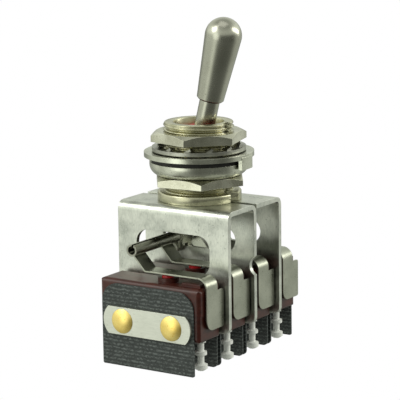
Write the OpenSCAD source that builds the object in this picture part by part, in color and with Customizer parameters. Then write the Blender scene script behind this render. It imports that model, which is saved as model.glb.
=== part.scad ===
// Four-pole toggle switch for panel mounting.
// A bat lever in a threaded bushing carries a long cross pin. The pin bears on
// four spring leaves, and each leaf works the plunger of one snap-action switch.
// X is the way the lever is thrown, Y runs along the stack of switches, Z is up.
// The origin is the centre of the bushing's front end, and the keyway faces +X.

/* [Bushing] */
// Major diameter of the bushing's thread
thread_d = 11.91; // [11.7:0.05:12.1]
// Diameter at which the thread is drawn where a nut is on it
thread_pitch_d = 11.4; // [11.2:0.05:11.5]
// Height of the bushing above the bracket
bushing_h = 13.25; // [12.8:0.05:15]
// Bore at the front end of the bushing
mouth_d = 8.54; // [8.3:0.05:8.8]
// Bore behind the lever seal
bore_d = 9; // [8.8:0.05:9.2]
// Depth of the lever seal's fixed lip below the front end
seal_depth = 1.4; // [1.3:0.05:1.5]
// Diameter of the flange that rests on the bracket
flange_d = 14.2; // [13:0.1:15.5]
// Thickness of the flange
flange_t = 1.55; // [1.2:0.05:1.8]
// Width of the keyway
keyway_w = 2; // [1.6:0.1:2.4]
// Depth of the keyway below the thread's crest
keyway_depth = 0.95; // [0.7:0.05:1.05]
// Diameter of the shank that passes through the bracket
shank_d = 10.8; // [10.5:0.05:11]
// Diameter of the lip that is rolled out under the bracket
lip_d = 11.4; // [11.2:0.05:11.6]
// Height of the rolled lip
lip_h = 0.5; // [0.3:0.05:0.8]

/* [Mounting hardware] */
// Width across flats of both hexagon nuts
nut_af = 14.29; // [14:0.05:15]
// Thickness of the front nut
front_nut_t = 1.65; // [1.4:0.05:1.9]
// Thickness of the rear nut
rear_nut_t = 1.5; // [1.3:0.05:1.7]
// Length of free thread in front of the front nut
free_thread = 1.55; // [1.3:0.05:1.8]
// Outside diameter of the internal-tooth washer
tooth_washer_d = 15.9; // [15:0.1:16.5]
// Height of the tooth washer over its twisted teeth
tooth_washer_h = 1.8; // [1.5:0.05:2]
// Number of teeth on the washer
tooth_count = 12; // [8:1:14]
// Outside diameter of the keyed locking ring
ring_d = 18.6; // [18:0.1:19.5]
// Thickness of the locking ring
ring_t = 0.8; // [0.6:0.05:1]
// Width of the lug that is bent down from the locking ring
lug_w = 3.6; // [3:0.1:4.5]
// Outside diameter of the sealing cup
cup_d = 16.8; // [16.3:0.1:17]
// Height of the sealing cup
cup_h = 2.35; // [2:0.05:2.6]
// Wall of the sealing cup
cup_wall = 0.6; // [0.4:0.05:0.8]
// How far the gasket stands out of the cup
gasket_proud = 0.85; // [0.6:0.05:1]

/* [Lever] */
// Lean of the lever to each side
lean = 14.4; // [12:0.2:15]
// Depth of the lever's pivot below the front end of the bushing
pivot_depth = 5.35; // [5:0.05:5.6]
// Diameter of the pivot pin
pivot_d = 1.6; // [1.3:0.05:1.8]
// Distance from the pivot to the centre of the ball end
ball_reach = 20.6; // [18:0.1:23]
// Diameter of the ball end
ball_d = 6.2; // [5.6:0.1:6.8]
// Distance from the pivot to the foot of the bat
bat_foot = 9.4; // [8.6:0.1:10.5]
// Diameter of the foot of the bat
bat_foot_d = 4.6; // [4:0.1:5]
// Diameter of the stem between the bat and the pivot
stem_d = 3.4; // [3:0.1:3.6]
// Size of the lever's shank in X
shank_x = 2.5; // [2.4:0.05:2.8]
// Size of the lever's shank in Y
shank_y = 4; // [3.8:0.05:4.1]
// Diameter of the slotted cross pin
cross_pin_d = 2; // [1.8:0.05:2.2]
// Length of the cross pin
cross_pin_len = 30; // [29:0.2:31]
// Diameter of the detent balls
detent_ball_d = 1.6; // [1.4:0.05:1.8]

/* [Brackets] */
// Width of both brackets
bracket_w = 22; // [21.6:0.1:24]
// Thickness of the bracket sheet
plate_t = 0.8; // [0.6:0.05:1]
// Outer radius of the folds
fold_r = 1.4; // [1:0.05:1.5]
// Height of the metal above the windows
header_h = 4.4; // [4:0.05:4.6]
// Width of the windows
window_w = 14.6; // [14:0.1:15.4]
// Corner radius of the front window
front_window_r = 2.3; // [1.6:0.1:2.6]
// Corner radius at the foot of each leg
leg_corner_r = 1.2; // [0.6:0.1:1.6]
// Length of a leg below the rivets
leg_below_rivet = 2; // [1.6:0.05:2.3]
// Depth of the round notch in the edge of the middle leg
edge_notch_depth = 0.95; // [0.6:0.05:1.2]
// Radius of the round notch
edge_notch_r = 1.8; // [1.4:0.05:2.2]

/* [Switches] */
// Offset of the whole stack of switches from the bushing's axis, along X
stack_x = -0.2; // [-0.4:0.05:0]
// Length of a switch case
case_l = 19.8; // [19.4:0.1:20.2]
// Height of a switch case
case_h = 9.1; // [8.8:0.1:9.6]
// Thickness of a switch case
case_t = 6.35; // [6.1:0.05:6.6]
// Depth of the case tops below the bracket's top face
case_drop = 11.7; // [11.6:0.05:12.4]
// Height of the cover, down to the line where it meets the base
cover_h = 4.6; // [4:0.1:5.2]
// Step in the ends of a case where the base is narrower than the cover
parting_step = 0.08; // [0.03:0.01:0.12]
// Radius of the long edges of a case
case_r = 0.8; // [0.4:0.05:1]
// Diameter of the boss round the plunger
boss_d = 3.5; // [3.2:0.1:4]
// Height of the boss
boss_h = 0.75; // [0.5:0.05:0.9]
// Place of the plunger along the case, from its middle
plunger_x = 1.8; // [1:0.1:2.6]
// Diameter of the plunger
plunger_d = 2.1; // [1.8:0.05:2.4]
// How far the pressed plunger stands out of its boss
plunger_proud = 0.6; // [0.5:0.05:0.9]
// Travel of the plunger
plunger_travel = 0.4; // [0.3:0.05:0.5]
// Distance between the two rivets
rivet_pitch = 9.7; // [9.4:0.1:10]
// Depth of the rivets below the case tops
rivet_drop = 6.8; // [6.5:0.05:7]
// Diameter of the rivets
rivet_d = 1.9; // [1.6:0.05:2.1]
// Diameter of the rivet heads
rivet_head_d = 4.2; // [3.6:0.1:4.4]
// Height of the rivet heads
rivet_head_h = 0.6; // [0.5:0.05:1.2]
// Distance between a switch's terminals
terminal_pitch = 8; // [7.4:0.1:8.2]
// Length of a terminal below the case
terminal_l = 5.25; // [4.8:0.05:5.6]
// Diameter of a terminal's stem
terminal_d = 1.1; // [0.9:0.05:1.3]

/* [Leaves, insulators and strips] */
// Thickness of the spring leaves
leaf_t = 0.25; // [0.2:0.01:0.3]
// Width of a leaf's arm and neck
leaf_w = 3.2; // [2.8:0.1:3.4]
// Slope of the arm that the cross pin bears on
arm_angle = 48; // [44:1:52]
// Height of the cross pin's centre above the leaves
pin_over_leaf = 3.45; // [3:0.05:3.6]
// Gap between a switch's end and the finger beside it
finger_gap = 0.25; // [0.15:0.05:0.5]
// Outer radius of the bend between a leaf and its finger
leaf_bend_r = 1.8; // [1.4:0.05:1.9]
// Radius of a finger's lower corner on the front side
finger_r = 1.7; // [1:0.1:2]
// Length of a finger below the case top
finger_l = 7.2; // [6.6:0.1:7.8]
// Thickness of an insulator
insulator_t = 0.3; // [0.25:0.01:0.4]
// Width of an insulator
insulator_w = 18.2; // [17.6:0.1:18.6]
// Offset of the insulators from the middle of the cases, along X
insulator_x = -0.2; // [-0.3:0.05:0]
// Height of an insulator
insulator_h = 14; // [13.4:0.05:14.2]
// Radius of an insulator's upper corners
insulator_r = 3.2; // [2:0.1:3.6]
// Radius of an inner insulator's lower corners
insulator_foot_r = 0.8; // [0.4:0.1:1.6]
// Length of the strips under the rivet heads
strip_l = 17.3; // [16.6:0.1:17.8]
// Height of the strips
strip_h = 4.7; // [4.2:0.1:4.9]
// Thickness of the strips
strip_t = 0.6; // [0.4:0.05:0.8]
// Radius of the strips' ends
strip_end_r = 3.2; // [2.7:0.1:4]

/* [Hidden] */
$fn = 72;
TURN = 360;
CUT = 1;                    // how far a cutting tool runs past the metal
RUNNING = 0.05;             // radial clearance of a pin that turns or slides
SEAT = 0.03;                // radial clearance of parts that are screwed or slid together
plunger_room = 3.6;          // depth of a plunger's bore below its boss
terminal_root = 1.2;         // length of a terminal moulded into its base
root_extra = 0.3;            // how far a terminal's root stands out from its stem
root_below = 0.45;           // length of the root that shows under the base
root_taper = 0.15;           // height over which the root narrows to the stem
collar_down = 1.9;           // from the base to the upper collar
upper_collar_r = 0.45;       // how far the upper collar stands out from the stem
upper_collar_h = 0.8;        // height of the upper collar with its two tapers
lower_collar_r = 0.55;       // how far the lower collar stands out from the stem
lower_collar_h = 1.3;        // height of the lower collar with its two tapers
collar_taper = 0.1;          // first taper of the upper collar
upper_collar_end = 0.15;     // second taper of the upper collar
lower_collar_taper = 0.25;   // first taper of the lower collar
lower_collar_end = 0.35;     // second taper of the lower collar
arm_short = 0.3;             // how far a leaf's arm stops short of the pin's height
lever_room = 0.2;            // clearance each side of the lever in the middle leg
lever_gap_rise = 2;          // height above the window's bottom where that gap begins
NEAR = 0.06;                // gap between two parts that bear on each other
CRISP = 0.3;                // radius of a corner that is left almost square

// Levels down the bushing, from its front end at 0
front_nut_top = -free_thread;
front_nut_z = front_nut_top - front_nut_t;
tooth_washer_z = front_nut_z - tooth_washer_h;
ring_z = tooth_washer_z - ring_t;
cup_top = ring_z - gasket_proud;
cup_z = cup_top - cup_h;
rear_nut_z = cup_z - rear_nut_t;
deck = -bushing_h;
pivot_z = -pivot_depth;
seal_z = -seal_depth;
seal_h = 1;
seal_groove_d = bore_d + 0.4;
washer_bore_d = thread_d + 0.2;
nut_bore_d = thread_pitch_d + 2 * SEAT;

// Stack of switches: each pitch holds a switch, its leaf, two insulators and a leg
pitch = case_t + leaf_t + plate_t + 2 * insulator_t;
switches = [0, 1, 2, 3];
function case_y(k) = (k - 2) * pitch + plate_t / 2 + insulator_t;
function case_mid(k) = case_y(k) + case_t / 2;
function ear_y(k) = case_y(k) + case_t;
stack_front = case_y(0) - insulator_t;
stack_back = ear_y(3) + leaf_t + insulator_t;

// Heights of the switches and what works them
case_top = deck - case_drop;
case_bottom = case_top - case_h;
rivet_z = case_top - rivet_drop;
boss_top = case_top + boss_h;
plunger_top = boss_top + plunger_proud;
leaf_under = plunger_top + NEAR;
leaf_top = leaf_under + leaf_t;
leaf_mid = leaf_under + leaf_t / 2;
hinge_x = case_l / 2 + finger_gap + leaf_t - leaf_bend_r;
finger_out = hinge_x + leaf_bend_r;
flex_x = hinge_x - NEAR - leaf_t / 2;

// The cross pin at rest lies on the lever's axis, above the leaves
cross_z = leaf_top + pin_over_leaf;
cross_x = -(pivot_z - cross_z) * tan(lean);
cross_reach = (pivot_z - cross_z) / cos(lean);
fork_reach = cross_reach + cross_pin_d / 2 + 0.17;
tip_reach = fork_reach + 1.8;
fork_w = plate_t + 0.2;
// Foot of the arm, from the line that touches the cross pin
arm_foot = cross_x - stack_x - (cross_pin_d / 2 + NEAR - pin_over_leaf * cos(arm_angle)) / sin(arm_angle);
arm_l = pin_over_leaf / sin(arm_angle) - arm_short;

// Openings in the brackets
window_top = deck - header_h;
window_bottom = pivot_z - fork_reach - 0.3;
front_window_bottom = case_top + 0.5;
leg_bottom = rivet_z - leg_below_rivet;
lever_gap_w = lip_d + 2 * lever_room;
bracket_hole_d = shank_d + 2 * SEAT;
notch_z = leaf_top - 0.4;

insulator_top = case_top - 0.65;
insulator_bottom = insulator_top - insulator_h;
case_bore_d = rivet_d + 2 * RUNNING;

// Sheet standing in the XZ plane from y to y + t, drawn as its (X, Z) outline
module sheet_xz(y, t) {
    translate([0, y + t, 0]) rotate([90, 0, 0]) linear_extrude(t) children();
}

// Sheet standing in the YZ plane from x to x + t, drawn as its (Y, Z) outline
module sheet_yz(x, t) {
    translate([x, 0, 0]) rotate([90, 0, 90]) linear_extrude(t) children();
}

// Places its children with the stack of switches
module in_stack() {
    translate([stack_x, 0, 0]) children();
}

// Piece of a square corner that a fillet of radius r takes away; the corner is at
// the origin and the metal lies towards (-sx, -sy)
module corner_waste(r, sx, sy) {
    mirror([sx > 0 ? 0 : 1, 0]) mirror([0, sy > 0 ? 0 : 1]) translate([-r, -r]) difference() {
        square(r + CUT);
        circle(r);
    }
}

// Rectangle from x0 to x1 and z0 to z1 with its own radius at foot and head
module rounded(x0, x1, z0, z1, r_foot, r_head) {
    difference() {
        translate([x0, z0]) square([x1 - x0, z1 - z0]);
        if (r_foot > 0) {
            translate([x0, z0]) corner_waste(r_foot, -1, -1);
            translate([x1, z0]) corner_waste(r_foot, 1, -1);
        }
        if (r_head > 0) {
            translate([x0, z1]) corner_waste(r_head, -1, 1);
            translate([x1, z1]) corner_waste(r_head, 1, 1);
        }
    }
}

// Both rivet holes, in (X, Z)
module rivet_holes(shift = 0) {
    for (side = [-1, 1])
        translate([shift + side * rivet_pitch / 2, rivet_z]) circle(d = case_bore_d);
}

// Places its children on the lever's axis, leaning as the lever does at rest
module on_lever() {
    translate([0, 0, pivot_z]) rotate([0, lean, 0]) children();
}

module bushing() {
    crest = thread_d / 2;
    root = thread_pitch_d / 2;
    chamfer = 0.2;
    under = deck - plate_t;
    slot_w = shank_y + 4 * RUNNING;
    color("darkkhaki") difference() {
        rotate_extrude() polygon([
            [bore_d / 2, under - lip_h], [lip_d / 2, under - lip_h], [lip_d / 2, under],
            [shank_d / 2, under], [shank_d / 2, deck], [flange_d / 2, deck],
            [flange_d / 2, deck + flange_t - chamfer], [flange_d / 2 - chamfer, deck + flange_t],
            [crest, deck + flange_t], [crest, rear_nut_z], [root, rear_nut_z], [root, cup_z],
            [crest, cup_z], [crest, front_nut_z], [root, front_nut_z], [root, front_nut_top],
            [crest, front_nut_top], [crest, -chamfer], [crest - chamfer, 0], [mouth_d / 2, 0],
            [mouth_d / 2, seal_z], [seal_groove_d / 2, seal_z],
            [seal_groove_d / 2, seal_z - seal_h], [bore_d / 2, seal_z - seal_h]
        ]);
        translate([crest - keyway_depth, -keyway_w / 2, deck - CUT / 2])
            cube([flange_d, keyway_w, bushing_h + CUT]);
        translate([0, 0, pivot_z]) rotate([90, 0, 0])
            cylinder(h = thread_d + CUT, d = pivot_d, center = true);
    }
    // Cheeks that carry the pivot pin and guide the lever's shank
    color("darkkhaki") difference() {
        translate([0, 0, under - lip_h]) cylinder(h = cheek_top - under + lip_h, d = bore_d);
        translate([-bore_d / 2, -slot_w / 2, under - lip_h - CUT])
            cube([bore_d, slot_w, bushing_h + lip_h + 2 * CUT]);
        translate([0, 0, pivot_z]) rotate([90, 0, 0]) {
            cylinder(h = bore_d + CUT, d = pivot_d, center = true);
            detent_track();
        }
    }
}

// Ring groove in which the detent balls travel as the lever turns
module detent_track() {
    rotate_extrude() for (side = [-1, 1])
        translate([detent_reach, side * detent_y]) circle(d = detent_ball_d + 4 * RUNNING);
}
cheek_top = pivot_z + pivot_d / 2 + 0.4;
detent_reach = 4.4;
detent_y = shank_y / 2 - 0.25;

module toggle_lever() {
    fall = ball_reach - bat_foot;
    foot_r = bat_foot_d / 2;
    ball_r = ball_d / 2;
    // Angle above the ball's equator at which the bat's cone meets the ball
    rise = asin(ball_r / norm([fall, foot_r])) - atan2(foot_r, fall);
    edge = 0.25;
    tip_r = shank_x / 2;
    color("darkgray") on_lever() difference() {
        union() {
            translate([0, 0, ball_reach]) sphere(d = ball_d);
            rotate_extrude() polygon([
                [0, 0], [stem_d / 2, 0], [stem_d / 2, bat_foot], [foot_r - edge, bat_foot],
                [foot_r, bat_foot + edge], [ball_r * cos(rise), ball_reach - ball_r * sin(rise)],
                [0, ball_reach - ball_r * sin(rise)]
            ]);
            intersection() {
                translate([0, 0, -tip_reach]) linear_extrude(tip_reach + pivot_d)
                    rounded(-tip_r, tip_r, -shank_y / 2, shank_y / 2, 0.5, 0.5);
                union() {
                    translate([-tip_r, -shank_y / 2, tip_r - tip_reach])
                        cube([shank_x, shank_y, tip_reach + pivot_d]);
                    translate([0, 0, tip_r - tip_reach]) rotate([90, 0, 0])
                        cylinder(h = shank_y, d = shank_x, center = true);
                }
            }
        }
        rotate([90, 0, 0]) cylinder(h = shank_y + CUT, d = pivot_d + 2 * RUNNING, center = true);
        translate([0, 0, -cross_reach]) rotate([90, 0, 0])
            cylinder(h = shank_y + CUT, d = cross_pin_d, center = true);
        translate([0, 0, -detent_reach]) rotate([90, 0, 0])
            cylinder(h = shank_y + CUT, d = detent_ball_d + 2 * SEAT, center = true);
        translate([-shank_x, -fork_w / 2, -tip_reach - CUT])
            cube([2 * shank_x, fork_w, tip_reach - fork_reach + CUT]);
    }
}

module pivot_pin() {
    color("silver") translate([0, 0, pivot_z]) rotate([90, 0, 0])
        cylinder(h = thread_pitch_d - 0.6, d = pivot_d, center = true);
}

// Slotted spring pin, its slit facing up
module cross_pin() {
    wall = 0.3;
    slit = 0.35;
    color("dimgray") on_lever() translate([0, 0, -cross_reach]) difference() {
        rotate([90, 0, 0]) difference() {
            cylinder(h = cross_pin_len, d = cross_pin_d, center = true);
            cylinder(h = cross_pin_len + CUT, d = cross_pin_d - 2 * wall, center = true);
        }
        translate([-slit / 2, -cross_pin_len, 0]) cube([slit, 2 * cross_pin_len, cross_pin_d]);
    }
}

// Elastomer dome moulded on the stem; it is part of a ball centred on the pivot
module lever_seal() {
    color("firebrick") on_lever() difference() {
        intersection() {
            sphere(seal_ball_r);
            translate([0, 0, seal_ball_r * cos(seal_edge)]) cylinder(h = seal_ball_r, r = seal_ball_r);
        }
        translate([0, 0, -CUT]) cylinder(h = bat_foot, d = stem_d);
    }
}
seal_ball_r = 4.9;
seal_edge = 51;

// Fixed lip in the bushing's groove, which wipes the dome as the lever turns
module seal_ring() {
    opening_r = 2.9;
    color("firebrick") difference() {
        translate([0, 0, seal_z - seal_h]) cylinder(h = seal_h, d = seal_groove_d);
        translate([0, 0, pivot_z]) sphere(seal_ball_r + RUNNING);
        translate([0, 0, seal_z - seal_h - CUT]) cylinder(h = seal_h + 2 * CUT, r = opening_r);
    }
}

module detent_balls() {
    color("silver") on_lever() for (side = [-1, 1])
        translate([0, side * detent_y, -detent_reach]) sphere(d = detent_ball_d);
}

// Coil spring between the balls, as the tube that its coil fills
module detent_spring() {
    room = 2 * detent_y - detent_ball_d;
    color("silver") on_lever() translate([0, 0, -detent_reach]) rotate([90, 0, 0]) difference() {
        cylinder(h = room, d = detent_ball_d - 0.2, center = true);
        cylinder(h = room + CUT, d = detent_ball_d - 0.8, center = true);
    }
}

// Hexagon nut with its front corners turned off at 30 degrees; turn is a corner's angle
module hex_nut(z, t, turn) {
    corner_r = nut_af / sqrt(3);
    flat_r = nut_af / 2;
    bevel = (corner_r - flat_r) * tan(30);
    edge = 0.05;
    translate([0, 0, z]) difference() {
        intersection() {
            rotate([0, 0, turn]) cylinder(h = t, r = corner_r, $fn = 6);
            rotate_extrude() polygon([
                [0, 0], [corner_r + edge, 0], [corner_r + edge, t - bevel], [flat_r, t], [0, t]
            ]);
        }
        translate([0, 0, -CUT]) cylinder(h = t + 2 * CUT, d = nut_bore_d);
    }
}

module front_nut() {
    color("darkkhaki") hex_nut(front_nut_z, front_nut_t, -14.7);
}

module rear_nut() {
    color("darkkhaki") hex_nut(rear_nut_z, rear_nut_t, 5.3);
}

module tooth_washer() {
    rim_in = tooth_washer_d - 2.2;
    rim_t = 0.6;
    rim_z = tooth_washer_z + 0.2;
    tooth_w = PI * washer_bore_d / tooth_count * 0.58;
    tooth_l = (rim_in - washer_bore_d) / 2;
    twist = 28;
    color("gray") union() {
        translate([0, 0, rim_z]) difference() {
            cylinder(h = rim_t, d = tooth_washer_d);
            translate([0, 0, -CUT]) cylinder(h = rim_t + 2 * CUT, d = rim_in);
        }
        for (k = [0 : tooth_count - 1]) rotate([0, 0, (k + 0.5) * TURN / tooth_count])
            translate([washer_bore_d / 2 + 0.05, 0, rim_z + rim_t]) rotate([twist, 0, 0])
                translate([0, -tooth_w / 2, -rim_t / 2]) cube([tooth_l + 0.25, tooth_w, rim_t * 0.7]);
    }
}

// Keyed ring: a tab inside runs in the keyway, and a lug outside is bent down
module locking_ring() {
    tab_w = keyway_w - 0.3;
    lug_turn = 3.7;
    lug_in = cup_d / 2 + 0.12;
    lug_drop = 1.7;
    color("silver") union() {
        translate([0, 0, ring_z]) difference() {
            cylinder(h = ring_t, d = ring_d);
            translate([0, 0, -CUT]) difference() {
                cylinder(h = ring_t + 2 * CUT, d = washer_bore_d);
                translate([(thread_d - keyway_depth) / 2, -tab_w / 2, 0])
                    cube([thread_d, tab_w, ring_t + 2 * CUT]);
            }
        }
        rotate([0, 0, lug_turn]) intersection() {
            translate([lug_in, -lug_w / 2, ring_z - lug_drop])
                cube([ring_d, lug_w, lug_drop + ring_t / 2]);
            translate([0, 0, ring_z - lug_drop]) cylinder(h = lug_drop + ring_t, d = ring_d + 0.2);
        }
    }
}

bowl_r = 0.8 * (cup_d - washer_bore_d) / 2;

// Pressed cup, its bowl rounded below, open above for the gasket
module cup_profile(out_r, z0, round_r) {
    difference() {
        translate([washer_bore_d / 2, z0]) square([out_r - washer_bore_d / 2, cup_top - z0]);
        translate([out_r, z0]) corner_waste(round_r, 1, -1);
    }
}

module sealing_cup() {
    color("lightgray") rotate_extrude() difference() {
        cup_profile(cup_d / 2, cup_z, bowl_r);
        translate([0, 0.01]) cup_profile(cup_d / 2 - cup_wall, cup_z + cup_wall, bowl_r - cup_wall);
    }
}

module gasket() {
    fill = 0.02;
    lip_r = cup_d / 2 - 0.35;
    color("black") rotate_extrude() union() {
        cup_profile(cup_d / 2 - cup_wall - fill, cup_z + cup_wall + fill, bowl_r - cup_wall);
        translate([washer_bore_d / 2, cup_top])
            square([lip_r - washer_bore_d / 2, gasket_proud - SEAT]);
    }
}

// One leg of a bracket as its (X, Z) outline, without its window
module leg() {
    difference() {
        rounded(-bracket_w / 2, bracket_w / 2, leg_bottom, deck - fold_r, leg_corner_r, 0);
        rivet_holes(stack_x);
    }
}

// Window with fully rounded ends, through which the cross pin swings
module slot_window() {
    r = (window_top - window_bottom) / 2;
    rounded(-window_w / 2, window_w / 2, window_bottom, window_top, r, r);
}

// Quarter-round fold along X whose centre is at y; side is the way its leg faces
module fold(y, side) {
    inner_r = fold_r - plate_t;
    intersection() {
        translate([0, y, deck - fold_r]) rotate([0, 90, 0]) difference() {
            cylinder(h = bracket_w, r = fold_r, center = true);
            if (inner_r > 0) cylinder(h = bracket_w + CUT, r = inner_r, center = true);
        }
        translate([-bracket_w, side > 0 ? y : y - 2 * fold_r, deck - fold_r])
            cube([2 * bracket_w, 2 * fold_r, 2 * fold_r]);
    }
}

// Hole for the bushing's shank, through both top plates
module shank_hole() {
    translate([0, 0, deck - plate_t - CUT]) cylinder(h = plate_t + 2 * CUT, d = bracket_hole_d);
}

module u_bracket() {
    front = -pitch - plate_t / 2;
    back = plate_t / 2;
    notch_x = bracket_w / 2 - edge_notch_depth + edge_notch_r;
    color("lightgray") difference() {
        union() {
            sheet_xz(front, plate_t) difference() {
                leg();
                rounded(-window_w / 2, window_w / 2, front_window_bottom, window_top,
                    front_window_r, front_window_r);
            }
            sheet_xz(-plate_t / 2, plate_t) difference() {
                leg();
                slot_window();
                translate([notch_x, notch_z]) circle(edge_notch_r);
            }
            fold(front + fold_r, -1);
            fold(back - fold_r, 1);
            translate([-bracket_w / 2, front + fold_r, deck - plate_t])
                cube([bracket_w, back - front - 2 * fold_r, plate_t]);
        }
        shank_hole();
        // Room for the lever in the middle leg, from the deck to the window
        translate([-lever_gap_w / 2, back - fold_r - CUT / 4, window_bottom + lever_gap_rise])
            cube([lever_gap_w, fold_r + CUT, deck - window_bottom]);
    }
}

module l_bracket() {
    front = plate_t / 2 + NEAR;
    back = pitch + plate_t / 2;
    color("lightgray") difference() {
        union() {
            sheet_xz(pitch - plate_t / 2, plate_t) difference() {
                leg();
                slot_window();
            }
            fold(back - fold_r, 1);
            translate([-bracket_w / 2, front, deck - plate_t])
                cube([bracket_w, back - fold_r - front, plate_t]);
        }
        shank_hole();
    }
}

// Clamping strip with arched ends, as its (X, Z) outline
module strip_outline() {
    reach = strip_l / 2 - strip_end_r;
    difference() {
        intersection() {
            translate([-strip_l / 2, rivet_z - strip_h / 2]) square([strip_l, strip_h]);
            union() {
                translate([-reach, rivet_z - strip_h]) square([2 * reach, 2 * strip_h]);
                for (side = [-1, 1]) translate([side * reach, rivet_z]) circle(strip_end_r);
            }
        }
        rivet_holes();
    }
}

module front_strip() {
    color("gainsboro") in_stack() sheet_xz(stack_front - strip_t, strip_t) strip_outline();
}

module rear_strip() {
    color("gainsboro") in_stack() sheet_xz(stack_back, strip_t) strip_outline();
}

module rivets() {
    half = stack_back + strip_t;
    cap_r = (pow(rivet_head_d / 2, 2) + pow(rivet_head_h, 2)) / (2 * rivet_head_h);
    color("goldenrod") in_stack() for (side = [-1, 1]) translate([side * rivet_pitch / 2, 0, rivet_z]) {
        rotate([90, 0, 0]) cylinder(h = 2 * half, d = rivet_d, center = true);
        for (end = [-1, 1]) intersection() {
            translate([0, end * (half + rivet_head_h - cap_r), 0]) sphere(cap_r);
            translate([-cap_r, end > 0 ? half : -half - 2 * cap_r, -cap_r]) cube(2 * cap_r);
        }
    }
}

// Insulating sheet; the outer two keep square lower corners
module insulator(y, foot_r) {
    color("darkslategray") in_stack() sheet_xz(y, insulator_t) difference() {
        translate([insulator_x, 0])
            rounded(-insulator_w / 2, insulator_w / 2, insulator_bottom, insulator_top,
                foot_r, insulator_r);
        rivet_holes();
    }
}

// Block with all its edges rounded, cut to the part between z0 and z1
module case_block(k, z0, z1) {
    y0 = case_y(k);
    intersection() {
        sheet_xz(y0, case_t) rounded(-case_l / 2, case_l / 2, case_bottom, case_top, case_r, case_r);
        sheet_yz(-case_l / 2, case_l)
            rounded(y0, y0 + case_t, case_bottom, case_top, case_r, case_r);
        translate([0, 0, z0]) linear_extrude(z1 - z0)
            rounded(-case_l / 2, case_l / 2, y0, y0 + case_t, case_r, case_r);
    }
}

// Upper half of a case, with the plunger's boss and the ledge under the leaf's bend
module switch_cover(k) {
    parting = case_top - cover_h;
    ledge_h = 0.5;
    ledge_l = 3.6;
    color("saddlebrown") in_stack() difference() {
        union() {
            case_block(k, parting, case_top);
            translate([plunger_x, case_mid(k), case_top - boss_h])
                cylinder(h = 2 * boss_h, d = boss_d);
            translate([case_l / 2 - case_r - ledge_l, case_mid(k) - leaf_w / 2, case_top - ledge_h])
                cube([ledge_l, leaf_w, 2 * ledge_h]);
        }
        translate([plunger_x, case_mid(k), boss_top - plunger_room])
            cylinder(h = plunger_room + CUT, d = plunger_d + 2 * RUNNING);
    }
}

// Lower half of a case, a hair narrower so that the parting line shows
module switch_base(k) {
    parting = case_top - cover_h;
    color("saddlebrown") in_stack() difference() {
        intersection() {
            case_block(k, case_bottom, parting);
            translate([-case_l / 2 + parting_step, case_y(k), case_bottom])
                cube([case_l - 2 * parting_step, case_t, case_h]);
        }
        sheet_xz(case_y(k) - CUT, case_t + 2 * CUT) rivet_holes();
        for (side = [-1, 0, 1]) translate([side * terminal_pitch, case_mid(k), case_bottom - CUT])
            cylinder(h = CUT + terminal_root, d = terminal_d + 2 * root_extra);
    }
}

module plunger(k) {
    dome = 0.25;
    r = plunger_d / 2;
    color("crimson") in_stack() translate([plunger_x, case_mid(k), 0]) rotate_extrude() polygon([
        [0, boss_top - plunger_room + NEAR], [r, boss_top - plunger_room + NEAR],
        [r, plunger_top - dome], [r - dome, plunger_top - dome / 4], [r / 3, plunger_top],
        [0, plunger_top]
    ]);
}

// Turret terminals: a stem with two collars, its root moulded into the base
module terminals(k) {
    stem_r = terminal_d / 2;
    root_r = stem_r + root_extra;
    upper_r = stem_r + upper_collar_r;
    lower_r = stem_r + lower_collar_r;
    tip = case_bottom - terminal_l;
    waist = case_bottom - collar_down;
    color("whitesmoke") in_stack() for (side = [-1, 0, 1])
        translate([side * terminal_pitch, case_mid(k), 0]) rotate_extrude() polygon([
            [0, case_bottom + terminal_root], [root_r, case_bottom + terminal_root],
            [root_r, case_bottom - root_below], [stem_r, case_bottom - root_below - root_taper],
            [stem_r, waist], [upper_r, waist - collar_taper],
            [upper_r, waist - upper_collar_h + upper_collar_end], [stem_r, waist - upper_collar_h],
            [stem_r, tip + lower_collar_h], [lower_r, tip + lower_collar_h - lower_collar_taper],
            [lower_r, tip + lower_collar_end], [stem_r, tip], [0, tip]
        ]);
}

// Flat of the leaf over the plunger, and the sloping arm under the cross pin
module leaf_arm(k) {
    color("gray") in_stack() sheet_xz(case_mid(k) - leaf_w / 2, leaf_w) union() {
        translate([arm_foot, leaf_under]) square([flex_x - arm_foot, leaf_t]);
        translate([flex_x, leaf_mid]) circle(d = leaf_t);
        translate([arm_foot, leaf_mid]) {
            circle(d = leaf_t);
            rotate(180 - arm_angle) translate([0, -leaf_t / 2]) square([arm_l, leaf_t]);
        }
    }
}

// The same strip past its bend: neck, finger down the end of the case, and the ear
// that is riveted between the case and the insulator behind it
module leaf_mount(k) {
    y0 = case_mid(k) - leaf_w / 2;
    ear = ear_y(k);
    bend_z = leaf_top - leaf_bend_r;
    shoulder_z = case_top - 0.8;
    shoulder_r = 0.4;
    finger_z = case_top - finger_l;
    ear_top = case_top - 2;
    color("gray") in_stack() union() {
        sheet_xz(y0, leaf_w) translate([hinge_x, bend_z]) intersection() {
            difference() {
                circle(leaf_bend_r);
                circle(leaf_bend_r - leaf_t);
            }
            square(2 * leaf_bend_r);
        }
        sheet_yz(finger_out - leaf_t, leaf_t) union() {
            translate([y0, shoulder_z - 1]) square([leaf_w, bend_z - shoulder_z + 1]);
            difference() {
                translate([y0, finger_z]) square([ear + leaf_t - y0, shoulder_z - finger_z]);
                translate([y0, finger_z]) corner_waste(finger_r, -1, -1);
                translate([ear + leaf_t, finger_z]) corner_waste(shoulder_r, 1, -1);
                translate([ear + leaf_t, shoulder_z]) corner_waste(shoulder_r, 1, 1);
            }
        }
        sheet_xz(ear, leaf_t) difference() {
            union() {
                translate([0, ear_top - 4]) square([finger_out, 4]);
                rounded(-strip_l / 2, case_l / 2 - 0.6, rivet_z - strip_h / 2, ear_top, 1, 1);
            }
            rivet_holes();
        }
    }
}

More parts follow.
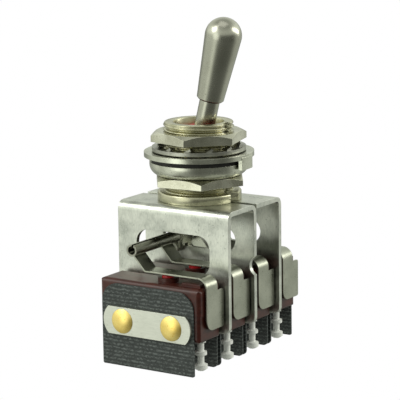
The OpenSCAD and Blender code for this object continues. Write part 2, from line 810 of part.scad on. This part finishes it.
bushing();
toggle_lever();
pivot_pin();
cross_pin();
lever_seal();
seal_ring();
detent_balls();
detent_spring();
front_nut();
tooth_washer();
locking_ring();
gasket();
sealing_cup();
rear_nut();
u_bracket();
l_bracket();
front_strip();
rear_strip();
rivets();
insulator(stack_front, CRISP);  // insulator_1
insulator(ear_y(0) + leaf_t, insulator_foot_r);  // insulator_2
insulator(case_y(1) - insulator_t, insulator_foot_r);  // insulator_3
insulator(ear_y(1) + leaf_t, insulator_foot_r);  // insulator_4
insulator(case_y(2) - insulator_t, insulator_foot_r);  // insulator_5
insulator(ear_y(2) + leaf_t, insulator_foot_r);  // insulator_6
insulator(case_y(3) - insulator_t, insulator_foot_r);  // insulator_7
insulator(ear_y(3) + leaf_t, CRISP);  // insulator_8
switch_cover(0);  // switch_cover_1
switch_cover(1);  // switch_cover_2
switch_cover(2);  // switch_cover_3
switch_cover(3);  // switch_cover_4
switch_base(0);  // switch_base_1
switch_base(1);  // switch_base_2
switch_base(2);  // switch_base_3
switch_base(3);  // switch_base_4
plunger(0);  // plunger_1
plunger(1);  // plunger_2
plunger(2);  // plunger_3
plunger(3);  // plunger_4
terminals(0);  // terminals_1
terminals(1);  // terminals_2
terminals(2);  // terminals_3
terminals(3);  // terminals_4
leaf_arm(0);  // leaf_arm_1
leaf_arm(1);  // leaf_arm_2
leaf_arm(2);  // leaf_arm_3
leaf_arm(3);  // leaf_arm_4
leaf_mount(0);  // leaf_mount_1
leaf_mount(1);  // leaf_mount_2
leaf_mount(2);  // leaf_mount_3
leaf_mount(3);  // leaf_mount_4
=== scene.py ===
import math

import bpy
import numpy as np
from mathutils import Matrix, Vector


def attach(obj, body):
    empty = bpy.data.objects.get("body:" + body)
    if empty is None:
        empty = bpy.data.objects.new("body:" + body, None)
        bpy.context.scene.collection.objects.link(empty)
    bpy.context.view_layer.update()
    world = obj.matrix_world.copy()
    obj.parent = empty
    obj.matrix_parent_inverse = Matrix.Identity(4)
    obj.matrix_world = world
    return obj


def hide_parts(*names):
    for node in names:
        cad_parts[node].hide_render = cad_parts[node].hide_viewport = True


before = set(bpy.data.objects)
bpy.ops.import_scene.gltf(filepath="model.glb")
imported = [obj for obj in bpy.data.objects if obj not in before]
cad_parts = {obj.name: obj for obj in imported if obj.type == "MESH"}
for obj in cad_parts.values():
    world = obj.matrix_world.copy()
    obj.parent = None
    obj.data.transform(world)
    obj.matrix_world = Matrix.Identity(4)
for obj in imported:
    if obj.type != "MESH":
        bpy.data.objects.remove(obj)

# --- Camera -------------------------------------------------------------------
# A long lens from the front right and a little above, almost level.
azimuth = math.radians(33.31)
elevation = math.radians(11.284)
roll = math.radians(-0.785)
back = Vector((
    math.sin(azimuth) * math.cos(elevation),
    -math.cos(azimuth) * math.cos(elevation),
    math.sin(elevation),
))
right = (-back).cross(Vector((0, 0, 1))).normalized()
up = back.cross(right)
across = math.cos(roll) * right + math.sin(roll) * up
upright = math.cos(roll) * up - math.sin(roll) * right
lens = bpy.data.cameras.new("camera")
lens.sensor_width = 36
lens.lens = 184.89
lens.shift_x = -0.00344
lens.shift_y = -0.00493
lens.clip_start = 0.01
spot = Vector((0.18739, -0.28464, 0.05475))
camera = bpy.data.objects.new("camera", lens)
camera.matrix_world = Matrix((
    (across.x, upright.x, back.x, spot.x),
    (across.y, upright.y, back.y, spot.y),
    (across.z, upright.z, back.z, spot.z),
    (0, 0, 0, 1),
))
bpy.context.scene.collection.objects.link(camera)
bpy.context.scene.camera = camera
bpy.context.scene.view_settings.view_transform = "Standard"


# --- Studio -------------------------------------------------------------------
# The camera sees plain white. The pieces reflect a room that is bright in front on the
# left, behind on the right and above, dimmer straight overhead, with a dark screen to the
# right of the camera. Softboxes hang high on the left, behind on the right and overhead.
class Value:
    """A socket of a shader tree; arithmetic on it adds the nodes that work it out."""

    def __init__(self, tree, socket):
        self.tree = tree
        self.socket = socket

    def node(self, kind, output, inputs=(), **settings):
        """Adds a node of any kind and returns one of its outputs."""
        made = self.tree.nodes.new(kind)
        for key, value in settings.items():
            setattr(made, key, value)
        for key, value in dict(inputs).items():
            if isinstance(value, Value):
                self.tree.links.new(value.socket, made.inputs[key])
            else:
                made.inputs[key].default_value = value
        return Value(self.tree, made.outputs[output])

    def math(self, operation, first, second=0.0):
        return self.node("ShaderNodeMath", 0, {0: first, 1: second}, operation=operation)

    def __add__(self, other):
        return self.math("ADD", self, other)

    def __radd__(self, other):
        return self.math("ADD", other, self)

    def __sub__(self, other):
        return self.math("SUBTRACT", self, other)

    def __rsub__(self, other):
        return self.math("SUBTRACT", other, self)

    def __mul__(self, other):
        return self.math("MULTIPLY", self, other)

    def __rmul__(self, other):
        return self.math("MULTIPLY", other, self)

    def between(self, low, high):
        """0 at low, 1 at high and smooth in between."""
        return self.node(
            "ShaderNodeMapRange", "Result", {"Value": self, "From Min": low, "From Max": high},
            interpolation_type="SMOOTHSTEP",
        )

    def colours(self, first, second):
        """The first colour where this is 0, the second where it is 1."""
        ends = [c if isinstance(c, Value) else (*c, 1) for c in (first, second)]
        return self.node(
            "ShaderNodeMix", 2, {0: self, 6: ends[0], 7: ends[1]}, data_type="RGBA",
        )

    def noise(self, scale, detail=3.0, stretch=(1, 1, 1)):
        """Noise with that many features per metre, stretched along the axes."""
        place = self.node("ShaderNodeMapping", 0, {"Vector": self, "Scale": stretch})
        return self.node(
            "ShaderNodeTexNoise", 0, {"Vector": place, "Scale": scale, "Detail": detail}
        )

    def axes(self):
        """The three components of a vector."""
        split = self.node("ShaderNodeSeparateXYZ", 0, {0: self})
        outputs = split.socket.node.outputs
        return [Value(self.tree, outputs[k]) for k in range(3)]


world = bpy.data.worlds.new("studio")
world.use_nodes = True
bpy.context.scene.world = world
tree = world.node_tree
sky = tree.nodes["Background"]
start = Value(tree, sky.outputs[0])
towards = start.node("ShaderNodeTexCoord", "Generated")
east, north, height = towards.axes()
left = (east * -0.766 - north * 0.643).between(0.45, 0.9)
strip_box = (east * -0.225 - north * 0.974).between(0.92, 0.97)
screen = (east * 0.866 - north * 0.5).between(0.1, 0.9)
wall = (east * 0.545 + north * 0.839).between(0.60, 0.95)
above = height.between(0.0, 0.3) * (1 - height.between(0.5, 0.95) * 0.8)
level = left * 0.50 + strip_box * 0.95 - screen * 0.20 + wall * 0.34 + above * 0.55 + 0.34
surround = (level * 0.5).colours((0.005, 0.006, 0.002), (1.92, 2.0, 1.80))
seen = start.node("ShaderNodeLightPath", "Is Camera Ray")
tree.links.new(seen.colours(surround, (1, 1, 1)).socket, sky.inputs["Color"])
aim = Vector((0, 0, -0.012))
for name, place, size, power, tint in (
    ("softbox_left", (-0.22, -0.28, 0.30), (0.24, 0.24), 0.6, (1.0, 1.0, 0.95)),
    ("softbox_right", (0.34, 0.26, 0.18), (0.16, 0.40), 0.7, (1.0, 0.99, 0.93)),
    ("softbox_top", (0.02, -0.05, 0.45), (0.34, 0.30), 0.2, (1.0, 1.0, 0.96)),
):
    lamp = bpy.data.lights.new(name, "AREA")
    lamp.shape = "RECTANGLE"
    lamp.size, lamp.size_y = size
    lamp.energy = power
    lamp.color = tint
    box = bpy.data.objects.new(name, lamp)
    box.location = place
    box.rotation_euler = (aim - box.location).to_track_quat("-Z", "Z").to_euler()
    bpy.context.scene.collection.objects.link(box)

# --- Bushing ------------------------------------------------------------------
# Turned brass with a satin nickel plate: a flange that rests on the bracket, a
# 15/32-32 thread with a keyway milled down its side, and a plain bore.


def material(name, **uniform):
    """A new material: (material, object coordinates, its shader), with the uniform sockets set."""
    made = bpy.data.materials.new(name)
    made.use_nodes = True
    shader = made.node_tree.nodes["Principled BSDF"]
    for key, value in uniform.items():
        shader.inputs[key.replace("_", " ")].default_value = value
    place = Value(made.node_tree, shader.outputs[0]).node("ShaderNodeTexCoord", "Object")
    return made, place, shader


def connect(shader, height=None, depth=0.0, edge=0.0, **varying):
    """Links the varying inputs, and the height as a bump of that depth in metres over
    edges that are broken by a small radius."""
    for key, value in varying.items():
        value.tree.links.new(value.socket, shader.inputs[key.replace("_", " ")])
    if height is not None:
        bump = height.node(
            "ShaderNodeBump", 0, {"Height": height, "Distance": depth, "Strength": 1.0}
        )
        if edge:
            rounded = height.node("ShaderNodeBevel", 0, {"Radius": edge}, samples=6)
            bump.tree.links.new(rounded.socket, bump.socket.node.inputs["Normal"])
        bump.tree.links.new(bump.socket, shader.inputs["Normal"])


def metal(
    name, dark, light, rough, stretch=(1, 1, 1), depth=4e-6, smudge=260, edge=7e-5, plate=1.0,
):
    """Plated metal: cloudy tone, fine grain stretched along the way it was worked, dull smudges."""
    made, place, shader = material(name, Metallic=plate)
    cloud = place.noise(smudge, 4)
    grain = place.noise(5200, 2, stretch)
    pits = place.noise(2300, 5).between(0.62, 0.74)
    tone = (cloud * 0.75 + grain * 0.35 - pits * 0.3).between(0.25, 0.8)
    connect(
        shader,
        height=grain * 0.6 + cloud * 0.8 - pits * 0.8,
        depth=depth,
        edge=edge,
        Base_Color=tone.colours(dark, light),
        Roughness=rough + (cloud - 0.5) * 0.22 + pits * 0.2,
    )
    return made


def grid_mesh(name, points):
    """A mesh through a grid of points (rows, columns, 3); each row closes on itself."""
    rows, columns = points.shape[:2]
    i, j = np.meshgrid(np.arange(rows - 1), np.arange(columns), indexing="ij")
    following = (j + 1) % columns
    faces = np.stack([
        i * columns + j, i * columns + following,
        (i + 1) * columns + following, (i + 1) * columns + j,
    ], axis=-1).reshape(-1, 4)
    mesh = bpy.data.meshes.new(name)
    mesh.from_pydata(points.reshape(-1, 3).tolist(), [], faces.tolist())
    mesh.polygons.foreach_set("use_smooth", [True] * len(mesh.polygons))
    mesh.update()
    piece = bpy.data.objects.new(name, mesh)
    bpy.context.scene.collection.objects.link(piece)
    return piece


def bushing_surface():
    """Rings up the profile. On the threaded length the radius is the crest less a groove
    with sloping sides and flat crest and root, whose depth depends on z / pitch + angle /
    turn, so the groove climbs as a helix. In the keyway x is held at its floor. The shell
    is open: the bore below the seal and the cheeks inside it are not drawn."""
    crest, depth, pitch = 5.955e-3, 0.487e-3, 25.4e-3 / 32
    slope, crest_flat = 1.35, 0.2
    floor_x, half_key, key_end = 5.005e-3, 1.0e-3, -13.3e-3
    thread_low, thread_high = -11.72e-3, -0.22e-3
    run_out, run_in, first_cut = 0.5 * pitch, 0.3 * pitch, 0.2
    key_points, round_points, rings_per_turn = 9, 260, 12
    edge = math.asin(half_key / crest)
    beside = edge + 0.012
    angles = np.concatenate([
        np.linspace(-edge, edge, key_points),
        np.linspace(beside, 2 * math.pi - beside, round_points),
    ])
    profile = [
        (4.5e-3, -14.55e-3), (5.55e-3, -14.55e-3), (5.68e-3, -14.46e-3), (5.68e-3, -14.08e-3),
        (5.4e-3, -14.05e-3), (5.4e-3, -13.25e-3), (7.02e-3, -13.24e-3), (7.1e-3, -13.16e-3),
        (7.1e-3, -11.94e-3), (7.03e-3, -11.80e-3), (6.88e-3, -11.70e-3), (6.05e-3, -11.70e-3),
    ]
    profile += [(None, z) for z in np.arange(thread_low, thread_high, pitch / rings_per_turn)]
    profile += [
        (5.80e-3, -0.12e-3), (5.70e-3, -0.03e-3), (5.62e-3, 0.0), (4.42e-3, 0.0),
        (4.31e-3, -0.04e-3), (4.27e-3, -0.14e-3), (4.27e-3, -2.84e-3),
    ]
    rings = []
    for radius, z in profile:
        if radius is None:
            phase = (z / pitch + angles / (2 * math.pi)) % 1.0
            groove = np.clip(slope * (1 - np.abs(2 * phase - 1)) - crest_flat, 0, 1)
            fade = min(1.0, (z - thread_low) / run_out, (thread_high - z) / run_in + first_cut)
            radius = crest - depth * groove * fade
        x = radius * np.cos(angles)
        y = radius * np.sin(angles)
        inside = (np.abs(y) <= half_key * 1.001) & (x > 0) & (z > key_end)
        x = np.where(inside, np.minimum(x, floor_x), x)
        rings.append(np.stack([x, y, np.full_like(x, z)], axis=-1))
    return np.array(rings)


bushing = grid_mesh("bushing_threaded", bushing_surface())
nickel = metal("nickel_plate", (0.32, 0.31, 0.20), (0.60, 0.58, 0.43), 0.27, (1, 1, 6), 5e-6, edge=0)
bushing.data.materials.append(nickel)
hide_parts("bushing")
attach(bushing, "housing")

# --- Nuts ---------------------------------------------------------------------
# Two hexagon nuts turned from brass bar, nickel plated, and run down the thread
# against the hardware between them.


def dress(made, slot, *names):
    """Gives CAD nodes a material; the slot argument is not used."""
    for name in names:
        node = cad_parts[name]
        node.data.materials.clear()
        node.data.materials.append(made)


nut_plate = metal("nut_plate", (0.40, 0.39, 0.30), (0.76, 0.75, 0.63), 0.27, (1, 1, 3), 5e-6)
dress(nut_plate, "nickel_plate", "front_nut", "rear_nut")

# --- Washers and sealing cup --------------------------------------------------
# A hardened internal-tooth washer, a keyed locking ring with its lug bent down, and
# a pressed cup that holds a rubber gasket against the panel.
hardened = metal("hardened_washer", (0.24, 0.24, 0.21), (0.50, 0.50, 0.45), 0.34)
dress(hardened, "dark_steel", "tooth_washer")
plated = metal("plated_ring", (0.36, 0.365, 0.30), (0.70, 0.71, 0.61), 0.24, (1, 1, 4))
dress(plated, "bright_steel", "locking_ring", "sealing_cup")
rubber, place, shader = material("gasket_rubber")
dust = place.noise(900, 5)
connect(
    shader, height=dust, depth=1.5e-5,
    Base_Color=dust.between(0.4, 0.8).colours((0.012, 0.012, 0.011), (0.045, 0.045, 0.04)),
    Roughness=0.55 + dust * 0.3,
)
dress(rubber, "black_rubber", "gasket")

# --- Lever --------------------------------------------------------------------
# Bat lever turned from one bar and satin finished, with fine turning marks around it
# and a chamfer under the bat.
steel = metal("lever_steel", (0.33, 0.33, 0.27), (0.48, 0.475, 0.41), 0.24, (1, 1, 7), 1e-6, 150, edge=0)
dress(steel, "lever_steel", "toggle_lever")

# Painted shade: the corner between the bat's foot and its stem is darkened in the colour, as if shade fell
# there.
lean, pivot_z = math.radians(14.4), -5.35e-3
foot, chamfer = 9.4e-3, 0.25e-3
shader = steel.node_tree.nodes["Principled BSDF"]
satin = Value(steel.node_tree, shader.inputs["Base Color"].links[0].from_socket)
x, _, z = satin.node("ShaderNodeTexCoord", "Object").axes()
reach = x * math.sin(lean) + (z - pivot_z) * math.cos(lean)
above_stem = reach.between(foot - 0.12e-3, foot - 0.03e-3)
past_chamfer = reach.between(foot + 0.16e-3, foot + chamfer + 0.02e-3)
# Painted shade mask: a band just under the bat's foot, faded out past the chamfer.
painted_shade_corner = above_stem * (1 - past_chamfer)
connect(shader, Base_Color=painted_shade_corner.colours(satin, (0.03, 0.03, 0.025)))

# --- Pins, detent balls and their spring --------------------------------------
# Ground pivot pin, rolled cross pin with its slit, two balls and a coil spring,
# all in plain hardened steel.
ground = metal("ground_steel", (0.17, 0.17, 0.14), (0.40, 0.40, 0.34), 0.28, (1, 0.2, 1))
dress(ground, "hard_steel", "pivot_pin", "cross_pin", "detent_balls", "detent_spring")

# --- Seal ---------------------------------------------------------------------
# Red elastomer: a dome moulded on the stem and the lip in the bushing that wipes it,
# so that dust stays out while the lever turns.
elastomer, place, shader = material("red_elastomer")
mottle = place.noise(1400, 4)
connect(
    shader, height=mottle, depth=1.2e-5,
    Base_Color=mottle.between(0.35, 0.7).colours((0.34, 0.012, 0.006), (0.58, 0.030, 0.016)),
    Roughness=0.42 + mottle * 0.25,
)
dress(elastomer, "red_elastomer", "lever_seal", "seal_ring")

# --- Brackets -----------------------------------------------------------------
# Two folded brackets in 0.8 mm sheet, blanked and bent, then satin plated: a U that
# carries the front two switches and an L behind it.
sheet = metal("bracket_sheet", (0.38, 0.395, 0.36), (0.69, 0.70, 0.64), 0.31, (1, 1, 0.3), 7e-6, smudge=420)
dress(sheet, "bracket_sheet", "u_bracket", "l_bracket")

# --- Strips and rivets --------------------------------------------------------
# A plated clamping strip at each end of the stack, under the domed heads of two
# long brass rivets that hold everything together.
strip = metal("strip_plate", (0.53, 0.54, 0.48), (0.69, 0.70, 0.63), 0.36, (0.2, 1, 1), 2e-6, smudge=120)
dress(strip, "bright_steel", "front_strip", "rear_strip")
brass = metal("rivet_brass", (0.80, 0.55, 0.12), (1.0, 0.80, 0.30), 0.34)
dress(brass, "brass", "rivets")

# --- Insulating sheets --------------------------------------------------------
# Black varnished cloth laminate, punched to shape; its weave shows as rows of ribs.
laminate, place, shader = material("woven_laminate", Specular_IOR_Level=0.5)
height = place.axes()[2]
wander = (place.noise(900, 3) - 0.5) * 3.2
ribs = height * 9900 + wander
rows = ribs.math("SINE", ribs) * 0.5 + 0.5
stitches = place.noise(4200, 2, (0.6, 1, 0.9)).between(0.38, 0.64)
weave = rows * 0.20 + rows * stitches * 0.55 + stitches * 0.18
fluff = place.noise(5200, 3)
connect(
    shader, height=weave + fluff * 0.4, depth=8e-5,
    Base_Color=(weave * 0.8 + fluff * 0.35).between(0.15, 1.05).colours(
        (0.020, 0.025, 0.024), (0.125, 0.142, 0.138)
    ),
    Roughness=0.48 + fluff * 0.3,
)
dress(laminate, "insulating_sheet", *[f"insulator_{n}" for n in range(1, 9)])

# --- Switch cases -------------------------------------------------------------
# Closed snap-action switches moulded in dark red-brown phenolic, in two halves that
# meet half-way down; a glossy skin with small flow marks.
phenolic, place, shader = material("phenolic", Specular_IOR_Level=0.38)
flow = place.noise(420, 5, (1, 1, 2))
specks = place.noise(3800, 3).between(0.66, 0.78)
connect(
    shader, height=flow + specks * 0.3, depth=1.6e-5, edge=9e-5,
    Base_Color=(flow.between(0.3, 0.75) + specks * 0.3).colours(
        (0.034, 0.0064, 0.0040), (0.074, 0.0150, 0.0095)
    ),
    Roughness=0.24 + flow * 0.16,
)
for part in ("cover", "base"):
    dress(phenolic, "phenolic", *[f"switch_{part}_{n}" for n in range(1, 5)])

# --- Plungers -----------------------------------------------------------------
# Red moulded buttons, slightly glossy, one standing in the boss of each switch; the
# leaf bears on its top.
button, place, shader = material("red_plastic", Coat_Weight=0.3)
haze = place.noise(2400, 3)
connect(
    shader, height=haze, depth=6e-6,
    Base_Color=haze.between(0.3, 0.7).colours((0.42, 0.004, 0.008), (0.70, 0.016, 0.022)),
    Roughness=0.25 + haze * 0.2,
)
dress(button, "red_plastic", *[f"plunger_{n}" for n in range(1, 5)])

# --- Terminals ----------------------------------------------------------------
# Turned brass turrets with a dull silver plate, three to a switch, their roots
# moulded into the cases. The plate is shaded as a pale non-metal.
silver = metal("silver_plate", (0.88, 0.89, 0.86), (0.98, 0.99, 0.96), 0.42, (1, 1, 5), plate=0.0)
dress(silver, "silver_plate", *[f"terminals_{n}" for n in range(1, 5)])

# --- Leaves -------------------------------------------------------------------
# Rolled spring strip, blanked and bent: the arm over the plunger, the bend at the
# end of the case, the finger beside it and the ear under the rivets.
spring = metal("spring_strip", (0.26, 0.27, 0.22), (0.43, 0.44, 0.37), 0.30, (0.25, 1, 1))
for part in ("arm", "mount"):
    dress(spring, "spring_steel", *[f"leaf_{part}_{n}" for n in range(1, 5)])
